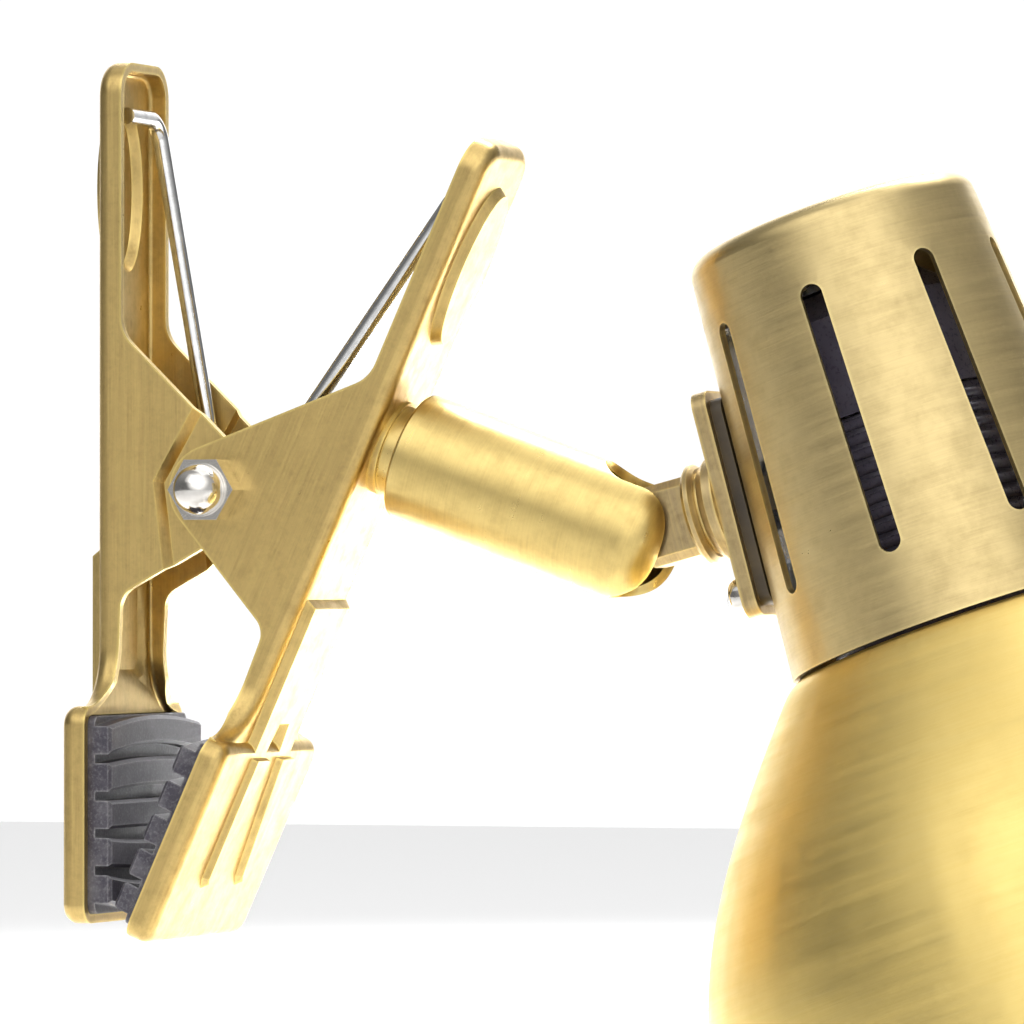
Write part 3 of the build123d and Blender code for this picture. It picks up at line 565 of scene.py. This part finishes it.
def joined(name: str, *parts: bpy.types.Object) -> bpy.types.Object:
    """Join plain objects at the origin into one piece."""
    work = bmesh.new()
    materials = []
    for part in parts:
        start = len(work.faces)
        work.from_mesh(part.data)
        work.faces.ensure_lookup_table()
        for face in work.faces[start:]:
            material = part.data.materials[face.material_index]
            if material not in materials:
                materials.append(material)
            face.material_index = materials.index(material)
        bpy.data.objects.remove(part)
    mesh = bpy.data.meshes.new(name)
    work.to_mesh(mesh)
    work.free()
    for material in materials:
        mesh.materials.append(material)
    smooth_by_angle(mesh, 30)
    piece = bpy.data.objects.new(name, mesh)
    bpy.context.scene.collection.objects.link(piece)
    return piece


# ---------------------------------------------------------------- repeated forms
class Pattern:
    """Geometry Nodes tree with named inputs, run once and turned into a plain mesh."""

    def __init__(self, name: str, finish: bpy.types.Material) -> None:
        """Start an empty tree that ends in Realize Instances and Set Material."""
        self.name = name
        self.tree = bpy.data.node_groups.new(name, "GeometryNodeTree")
        self.tree.interface.new_socket("Geometry", in_out="OUTPUT", socket_type="NodeSocketGeometry")
        self.source = self.tree.nodes.new("NodeGroupInput")
        self.finish = finish
        self.settings: dict[str, float] = {}

    def size(self, name: str, value: float, kind: str = "NodeSocketFloat") -> str:
        """Add a named input of the tree.

        Args:
            name: name of the input.
            value: its value.
            kind: its socket type.

        Returns:
            The input's name, for linking.
        """
        socket = self.tree.interface.new_socket(name, in_out="INPUT", socket_type=kind)
        self.settings[socket.identifier] = value
        return name

    def add(self, kind: str, **settings: object) -> bpy.types.Node:
        """Add a node and set its properties."""
        node = self.tree.nodes.new(kind)
        for key, value in settings.items():
            setattr(node, key, value)
        return node

    def link(self, start: bpy.types.NodeSocket | str, end: bpy.types.NodeSocket) -> None:
        """Link a socket, or a named input of the tree, to a socket."""
        if isinstance(start, str):
            start = self.source.outputs[start]
        self.tree.links.new(start, end)

    def run(self, geometry: bpy.types.NodeSocket, place: Matrix) -> bpy.types.Object:
        """Close the tree, evaluate it and return a plain mesh object at the origin.

        Args:
            geometry: the last output of the pattern.
            place: frame in which the pattern was made.

        Returns:
            The plain object, at the origin.
        """
        realize = self.add("GeometryNodeRealizeInstances")
        paint = self.add("GeometryNodeSetMaterial")
        paint.inputs["Material"].default_value = self.finish
        result = self.add("NodeGroupOutput")
        self.link(geometry, realize.inputs[0])
        self.link(realize.outputs[0], paint.inputs["Geometry"])
        self.link(paint.outputs[0], result.inputs[0])
        mesh = bpy.data.meshes.new(self.name)
        obj = bpy.data.objects.new(f"{self.name}_work", mesh)
        bpy.context.scene.collection.objects.link(obj)
        modifier = obj.modifiers.new(self.name, "NODES")
        modifier.node_group = self.tree
        for identifier, value in self.settings.items():
            modifier[identifier] = value
        piece = baked(obj, self.name)
        piece.data.transform(place)
        work = bmesh.new()
        work.from_mesh(piece.data)
        bmesh.ops.remove_doubles(work, verts=work.verts, dist=0.000001)
        bmesh.ops.recalc_face_normals(work, faces=work.faces)
        work.to_mesh(piece.data)
        work.free()
        smooth_by_angle(piece.data, 40)
        return piece


@dataclass(frozen=True)
class Winding:
    """Round wire or a thread ridge wound on a helix; sizes in millimetres."""

    name: str
    radius: float
    pitch: float
    turns: float
    wire: float
    sides: int = 16
    steps: int = 48

    def build(self, finish: bpy.types.Material, place: Matrix) -> bpy.types.Object:
        """Make the winding as a plain mesh.

        Args:
            finish: its material.
            place: frame whose Z is the helix axis and whose X is where it starts.

        Returns:
            The plain object.
        """
        pattern = Pattern(self.name, finish)
        spiral = pattern.add("GeometryNodeCurveSpiral")
        pattern.link(pattern.size("Steps", self.steps, "NodeSocketInt"), spiral.inputs["Resolution"])
        pattern.link(pattern.size("Turns", self.turns), spiral.inputs["Rotations"])
        pattern.link(pattern.size("Start Radius", self.radius * MM), spiral.inputs["Start Radius"])
        pattern.link(pattern.size("End Radius", self.radius * MM), spiral.inputs["End Radius"])
        pattern.link(pattern.size("Length", self.pitch * self.turns * MM), spiral.inputs["Height"])
        section = pattern.add("GeometryNodeCurvePrimitiveCircle")
        pattern.link(pattern.size("Sides", self.sides, "NodeSocketInt"), section.inputs["Resolution"])
        pattern.link(pattern.size("Wire", self.wire * MM), section.inputs["Radius"])
        sweep = pattern.add("GeometryNodeCurveToMesh")
        pattern.link(spiral.outputs["Curve"], sweep.inputs["Curve"])
        pattern.link(section.outputs["Curve"], sweep.inputs["Profile Curve"])
        sweep.inputs["Fill Caps"].default_value = True
        return pattern.run(sweep.outputs["Mesh"], place)


@dataclass(frozen=True)
class Ribs:
    """Rounded ribs set round a turned piece; sizes in millimetres."""

    name: str
    count: int
    radius: float
    length: float
    width: float

    def build(self, finish: bpy.types.Material, place: Matrix) -> bpy.types.Object:
        """Make the ribs as a plain mesh standing on the frame's XY plane."""
        pattern = Pattern(self.name, finish)
        circle = pattern.add("GeometryNodeMeshCircle")
        pattern.link(pattern.size("Count", self.count, "NodeSocketInt"), circle.inputs["Vertices"])
        pattern.link(pattern.size("Radius", self.radius * MM), circle.inputs["Radius"])
        rib = pattern.add("GeometryNodeMeshCylinder")
        pattern.link(pattern.size("Length", self.length * MM), rib.inputs["Depth"])
        pattern.link(pattern.size("Width", self.width / 2 * MM), rib.inputs["Radius"])
        rib.inputs["Vertices"].default_value = 12
        spread = pattern.add("GeometryNodeInstanceOnPoints")
        pattern.link(circle.outputs["Mesh"], spread.inputs["Points"])
        pattern.link(rib.outputs["Mesh"], spread.inputs["Instance"])
        return pattern.run(spread.outputs["Instances"], place)


# ---------------------------------------------------------------- the lamp
@dataclass
class Clip:
    """Two pressed jaws with their rubber pads."""

    frame: dict

    def build(self) -> None:
        """Shade the jaws and pads."""
        rear = CLIP_REAR.material()
        front = CLIP_FRONT.material()
        rubber = PAD_RUBBER.material()
        refined(self.frame, "rear_jaw", rear, "clip_brass", 26)
        refined(self.frame, "front_jaw", front, "clip_brass", 26)
        refined(self.frame, "rear_pad", rubber, "rubber")
        refined(self.frame, "front_pad", rubber, "rubber")


@dataclass
class SprungPivot:
    """Bolt, acorn nut and torsion spring of the clip; sizes in millimetres.

    Attributes:
        coil_radius: radius of the coil, to the middle of the wire.
        wire: radius of the wire.
        leg_y: where each leg leaves the coil, either side of the middle.
        turns: whole turns of the coil.
        bar: how far a leg's bar lies inside its handle's plate, and how far up from the pivot.
        reach: from the pivot to the rear plate, and to the front one.
    """

    frame: dict
    coil_radius: float = 4.05
    wire: float = 1.1
    leg_y: float = 5.2
    turns: int = 5
    bar: tuple[float, float] = (3.4, 50.3)
    reach: tuple[float, float] = (16.5, 18.0)

    def leg_angle(self, target: Vector) -> float:
        """Angle in the XZ plane at which a straight leg leaves the coil for its bar."""
        side = 1 if target.x < 0 else -1
        length = (target.x ** 2 + target.z ** 2) ** 0.5
        opening = atan2((length ** 2 - self.coil_radius ** 2) ** 0.5, self.coil_radius)
        return atan2(target.z, target.x) + side * opening

    def coil(self, wire: bpy.types.Material) -> bpy.types.Object:
        """Coil that winds up between the two legs."""
        rear = Vector((self.bar[0] - self.reach[0], 0, self.bar[1]))
        front = HANDLE_OUT * (self.reach[1] - self.bar[0]) + HANDLE_LEAN * self.bar[1]
        start, end = self.leg_angle(rear), self.leg_angle(front)
        turns = (end - start) / (2 * pi) + self.turns
        z_axis = ACROSS * -1
        x_axis = Vector((cos(start), 0, sin(start)))
        turn = Matrix((x_axis, z_axis.cross(x_axis), z_axis)).transposed().to_4x4()
        place = Matrix.Translation(PIVOT + ACROSS * self.leg_y * MM) @ turn
        winding = Winding("spring_coil_piece", self.coil_radius, 2 * self.leg_y / turns, turns, self.wire,
                          sides=24, steps=72)
        return winding.build(wire, place)

    def build(self) -> None:
        """Make the coil, and shade the legs, the bolt and the nut."""
        wire = SPRING_WIRE.material()
        nickel = NICKEL.material()
        coil = self.coil(wire)
        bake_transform(coil)
        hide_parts("spring_coil")
        refined(self.frame, "spring_rear_leg", wire, "spring_wire")
        refined(self.frame, "spring_front_leg", wire, "spring_wire")
        refined(self.frame, "pivot_bolt", nickel, "nickel")
        refined(self.frame, "acorn_nut", nickel, "nickel", 24)


@dataclass
class SwivelArm:
    """Slotted arm tube, the collar and stud it turns on, and the ball's seat; in millimetres."""

    frame: dict
    seat_radius: float = 5.6
    seat_wire: float = 0.6

    def build(self) -> None:
        """Shade the tube and its fittings."""
        brass = ARM_BRASS.material()
        zinc = ZINC.material()
        refined(self.frame, "arm_tube", brass, "arm_brass", 30)
        refined(self.frame, "arm_collar", brass, "arm_brass", 30)
        refined(self.frame, "swivel_stud", zinc, "zinc_steel")
        refined(self.frame, "swivel_washer", zinc, "zinc_steel")
        refined(self.frame, "swivel_nut", zinc, "zinc_steel", 20)
        refined(self.frame, "ball_seat", BLACK.material(), "black_plastic")
        winding = Winding("seat_spring_piece", self.seat_radius, 3.06, 5, self.seat_wire, sides=10, steps=40)
        spring = winding.build(SPRING_WIRE.material(), axis_frame(ARM_ROOT + ARM_AXIS * 5.0 * MM, ARM_AXIS))
        settle(spring, Body.ARM.value, "spring_wire", "seat_spring")


@dataclass
class NeckAndPlate:
    """Knuckle, domed washer, mounting plate, spacer and their fasteners; in millimetres."""

    frame: dict
    screw_down: float = 12.0
    plate_at: float = 14.8
    head_radius: float = 2.75
    washer: tuple[float, float] = (3.3, 0.7)
    shank: tuple[float, float] = (1.35, 24.3)
    thread_start: float = 17.4

    def screw(self, nickel: bpy.types.Material) -> bpy.types.Object:
        """Pan head screw with a round driving recess, its washer and its thread."""
        spot = BALL - NECK_UP * self.screw_down * MM
        place = axis_frame(spot, NECK_AXIS)
        washer_radius, washer_thick = self.washer
        shank_radius, tip = self.shank
        seat = self.plate_at - washer_thick
        socket_and_dome = [(0, seat - 1.4), (0.8, seat - 1.4), (0.85, seat - 2.45), (1.3, seat - 2.4),
                           (2.2, seat - 1.9), (2.55, seat - 1.5), (2.7, seat - 1.0), (self.head_radius, seat)]
        washer_and_shank = [(washer_radius, seat), (washer_radius, self.plate_at),
                            (shank_radius, self.plate_at), (shank_radius, tip), (0, tip)]
        head = lathe("plate_screw_head", socket_and_dome + washer_and_shank, place, nickel, 72)
        thread = Winding("plate_screw_thread", 1.36, 0.5, 13, 0.14, sides=6, steps=24)
        low = spot + NECK_AXIS * self.thread_start * MM
        ridge = thread.build(nickel, axis_frame(low, NECK_AXIS))
        return joined("plate_screw_piece", head, ridge)

    def build(self) -> None:
        """Shade the knuckle and plates and make the screw."""
        brass = NECK_BRASS.material()
        nickel = NICKEL.material()
        zinc = ZINC.material()
        refined(self.frame, "knuckle", brass, "arm_brass", 28)
        refined(self.frame, "neck_washer", brass, "arm_brass", 28)
        refined(self.frame, "mounting_plate", brass, "arm_brass", 28)
        refined(self.frame, "plate_spacer", SEAL.material(), "black_plastic")
        settle(self.screw(nickel), Body.HEAD.value, "nickel", "plate_screw")
        refined(self.frame, "plate_screw_nut", zinc, "zinc_steel", 20)
        refined(self.frame, "neck_nut", zinc, "zinc_steel", 20)


@dataclass
class VentedCap:
    """Tapered cap with vent slots, its cord bushing, and the bracket inside it."""

    frame: dict

    def build(self) -> None:
        """Shade the cap and its fittings."""
        zinc = ZINC.material()
        refined(self.frame, "vent_cap", CAP_BRASS.material(), "cap_brass", 30)
        refined(self.frame, "cord_bushing", BLACK.material(), "black_plastic")
        refined(self.frame, "lampholder_bracket", zinc, "zinc_steel")
        refined(self.frame, "nipple", zinc, "zinc_steel")
        refined(self.frame, "nipple_nut", zinc, "zinc_steel", 20)


@dataclass
class Lampholder:
    """Black lampholder with a threaded skirt, and its contacts; sizes in millimetres."""

    frame: dict
    radius: float = 14.0
    start: float = 27.1
    flange: float = 54.6
    shade_top: float = 57.0
    end: float = 63.0
    pitch: float = 2.0
    depth: float = 0.8
    bore: float = 11.5
    mouth: float = 7.8
    step: float = 36.0
    flange_radius: float = 17.5
    shade_gap: float = 0.02

    def thread(self, name: str, start: float, end: float, black: bpy.types.Material) -> bpy.types.Object:
        """Rounded helical ridge between two heights on the skirt."""
        ridge = self.depth * 0.92
        turns = (end - start - 2 * ridge) / self.pitch
        winding = Winding(name, self.radius - self.depth + 0.04, self.pitch, turns, ridge * 0.98, sides=12,
                          steps=72)
        return winding.build(black, axis_frame(HEAD_TOP + HEAD_AXIS * (start + ridge) * MM, HEAD_AXIS))

    def skirt(self, black: bpy.types.Material) -> bpy.types.Object:
        """Skirt with a rounded helical thread above and below its flange."""
        core = self.radius - self.depth
        low_face = self.shade_top - self.shade_gap
        outline = [(self.bore, self.start), (core, self.start), (core, self.flange),
                   (self.flange_radius, self.flange), (self.flange_radius, low_face), (core, low_face),
                   (core, self.end), (self.mouth, self.end), (self.mouth, self.step), (self.bore, self.step)]
        body = lathe("skirt_body", outline, axis_frame(HEAD_TOP, HEAD_AXIS), black, 144, 0.25)
        top = self.thread("skirt_thread", self.start, self.flange, black)
        low = self.thread("skirt_lower_thread", self.shade_top, self.end, black)
        return joined("lampholder_skirt_piece", body, top, low)

    def build(self) -> None:
        """Make the skirt and shade the rest."""
        black = HOLDER.material()
        contact = CONTACT.material()
        settle(self.skirt(black), Body.HEAD.value, "black_plastic", "lampholder_skirt")
        refined(self.frame, "lampholder_cover", black, "black_plastic")
        refined(self.frame, "contact_carrier", CARRIER.material(), "carrier")
        refined(self.frame, "terminal_screws", ZINC.material(), "zinc_steel")
        refined(self.frame, "centre_contact", contact, "contact_brass")
        refined(self.frame, "socket_shell", contact, "contact_brass")


@dataclass
class ShadeAndBulb:
    """Bell shade with a rolled rim, the ribbed ring that clamps it, and the bulb; in millimetres."""

    frame: dict
    ring_low: float = 58.02
    ribs: int = 36
    ring_bore: float = 14.06
    ring_radius: float = 20.0
    ring_height: float = 5.0
    lip: float = 1.6

    def ring(self, black: bpy.types.Material) -> bpy.types.Object:
        """Clamping ring with grip ribs round its skirt."""
        low = self.ring_low
        end = low + self.ring_height
        outline = [(self.ring_bore, low), (self.ring_radius, low), (self.ring_radius, low + self.lip),
                   (16.9, low + self.lip), (16.2, end), (self.ring_bore, end)]
        body = lathe("ring_body", outline, axis_frame(HEAD_TOP, HEAD_AXIS), black, 128, 0.3)
        ribs = Ribs("ring_ribs", self.ribs, 16.35, 3.3, 0.9)
        grips = ribs.build(black, axis_frame(HEAD_TOP + HEAD_AXIS * (low + 3.2) * MM, HEAD_AXIS))
        return joined("shade_ring_piece", body, grips)

    def build(self) -> None:
        """Shade the bell and the bulb and make the ring."""
        refined(self.frame, "shade", SHADE_BRASS.material(), "shade_brass", 40)
        settle(self.ring(BLACK.material()), Body.HEAD.value, "black_plastic", "shade_ring")
        refined(self.frame, "bulb_glass", OPAL.material(), "bulb_white", 50)
        refined(self.frame, "bulb_cap", BULB_METAL.material(), "bulb_metal")
        refined(self.frame, "bulb_contact", CONTACT.material(), "contact_brass")


# ---------------------------------------------------------------- studio
@dataclass
class Studio:
    """Pale floor, white surroundings, soft boxes and the camera."""

    floor_size: float = 3.2
    eye: tuple[float, float, float] = (0.40877, -1.07103, 0.0312)
    turn: float = 18.5
    rise: float = 0.458
    lens: float = 298.8
    background: float = 1.05
    ambient: float = 0.17
    lobes: tuple[tuple[tuple[float, float, float], float, float, float], ...] = (
        ((-0.33, 0.944, 0.0), 0.68, 0.94, 2.0),
        ((0.50, -0.86, 0.1), 0.3, 0.95, 0.25),
        ((0.85, -0.48, 0.2), 0.45, 0.95, 0.22),
        ((0.2, -0.75, 0.6), 0.6, 0.96, 1.2),
        ((0.0, 0.2, 1.0), 0.2, 0.9, 0.25))

    def floor(self, lowest: float) -> None:
        """Lay a plain pale floor under the lamp."""
        half = self.floor_size / 2
        mesh = bpy.data.meshes.new("floor")
        corners = [(x * half, y * half, lowest) for x, y in ((-1, -1), (1, -1), (1, 1), (-1, 1))]
        mesh.from_pydata(corners, [], [(0, 1, 2, 3)])
        tree = Tree("floor_white")
        tree.feed(tree.shader, Base_Color=(0.96, 0.96, 0.96, 1.0), Roughness=0.8)
        mesh.materials.append(tree.material)
        plane = bpy.data.objects.new("floor", mesh)
        bpy.context.scene.collection.objects.link(plane)
        plane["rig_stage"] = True

    def surroundings(self) -> None:
        """Very bright sweep behind the lamp, a lit side and top, and a dimmer room in front."""
        world = bpy.data.worlds.new("studio")
        world.use_nodes = True
        bpy.context.scene.world = world
        nodes, links = world.node_tree.nodes, world.node_tree.links
        direction = nodes.new("ShaderNodeTexCoord").outputs["Generated"]
        level = None
        for towards, start, end, strength in self.lobes:
            aim = nodes.new("ShaderNodeVectorMath")
            aim.operation = "DOT_PRODUCT"
            links.new(direction, aim.inputs[0])
            aim.inputs[1].default_value = Vector(towards).normalized()
            lobe = nodes.new("ShaderNodeMapRange")
            lobe.interpolation_type = "SMOOTHSTEP"
            links.new(aim.outputs["Value"], lobe.inputs["Value"])
            for name, value in (("From Min", start), ("From Max", end), ("To Min", 0), ("To Max", strength)):
                lobe.inputs[name].default_value = value
            joint = nodes.new("ShaderNodeMath")
            links.new(lobe.outputs[0], joint.inputs[0])
            joint.inputs[1].default_value = self.ambient
            if level is not None:
                links.new(level, joint.inputs[1])
            level = joint.outputs[0]
        seen = nodes.new("ShaderNodeLightPath").outputs["Is Camera Ray"]
        choice = nodes.new("ShaderNodeMix")
        links.new(seen, choice.inputs["Factor"])
        links.new(level, choice.inputs["A"])
        choice.inputs["B"].default_value = self.background
        links.new(choice.outputs["Result"], nodes["Background"].inputs["Strength"])
        nodes["Background"].inputs["Color"].default_value = (1, 1, 1, 1)

    def soft_box(self, name: str, spot: Vector, target: Vector, size: tuple[float, float], power: float,
                 spread: float = 180) -> None:
        """Hang a soft box that faces a point.

        Args:
            name: name of the light.
            spot: its place in metres.
            target: the point that it faces.
            size: its width and height in metres.
            power: its power in watts.
            spread: how wide it throws its light, in degrees.
        """
        data = bpy.data.lights.new(name, "AREA")
        data.spread = radians(spread)
        data.shape = "RECTANGLE"
        data.size, data.size_y = size
        data.energy = power
        light = bpy.data.objects.new(name, data)
        light.location = spot
        light.rotation_euler = (target - spot).to_track_quat("-Z", "Y").to_euler()
        bpy.context.scene.collection.objects.link(light)

    def camera(self) -> None:
        """Set up the camera at eye level with a long lens."""
        data = bpy.data.cameras.new("camera")
        data.lens = self.lens
        data.sensor_width = 36.0
        data.clip_end = 100.0
        camera = bpy.data.objects.new("camera", data)
        camera.location = self.eye
        camera.rotation_euler = (radians(90 + self.rise), 0, radians(self.turn))
        bpy.context.scene.collection.objects.link(camera)
        bpy.context.scene.camera = camera

    def build(self, lowest: float) -> None:
        """Set up everything round the lamp."""
        bpy.context.scene.view_settings.view_transform = "Standard"
        self.floor(lowest)
        self.surroundings()
        here = Vector((0.06, 0, 0.04))
        self.soft_box("key", Vector((-0.45, -0.7, 0.95)), here, (0.8, 0.8), 1.2)
        self.soft_box("top", Vector((0.15, 0.2, 1.1)), here, (1.0, 0.7), 2.2)
        self.soft_box("sweep", Vector((0.14, 0.56, 0.5)), Vector((0.13, 0.40, lowest)), (0.6, 0.5), 6.6, 66)
        self.camera()


def main() -> None:
    """Build the lamp piece by piece, then the studio round it."""
    logging.basicConfig(level=logging.INFO, format="%(name)s: %(message)s")
    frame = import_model()
    cad_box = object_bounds()
    for piece in (Clip(frame), SprungPivot(frame), SwivelArm(frame), NeckAndPlate(frame),
                  VentedCap(frame), Lampholder(frame), ShadeAndBulb(frame)):
        LOG.info("building %s", type(piece).__name__)
        piece.build()
    Studio().build(cad_box[0][2] - 0.0005)


if __name__ == "__main__":
    main()
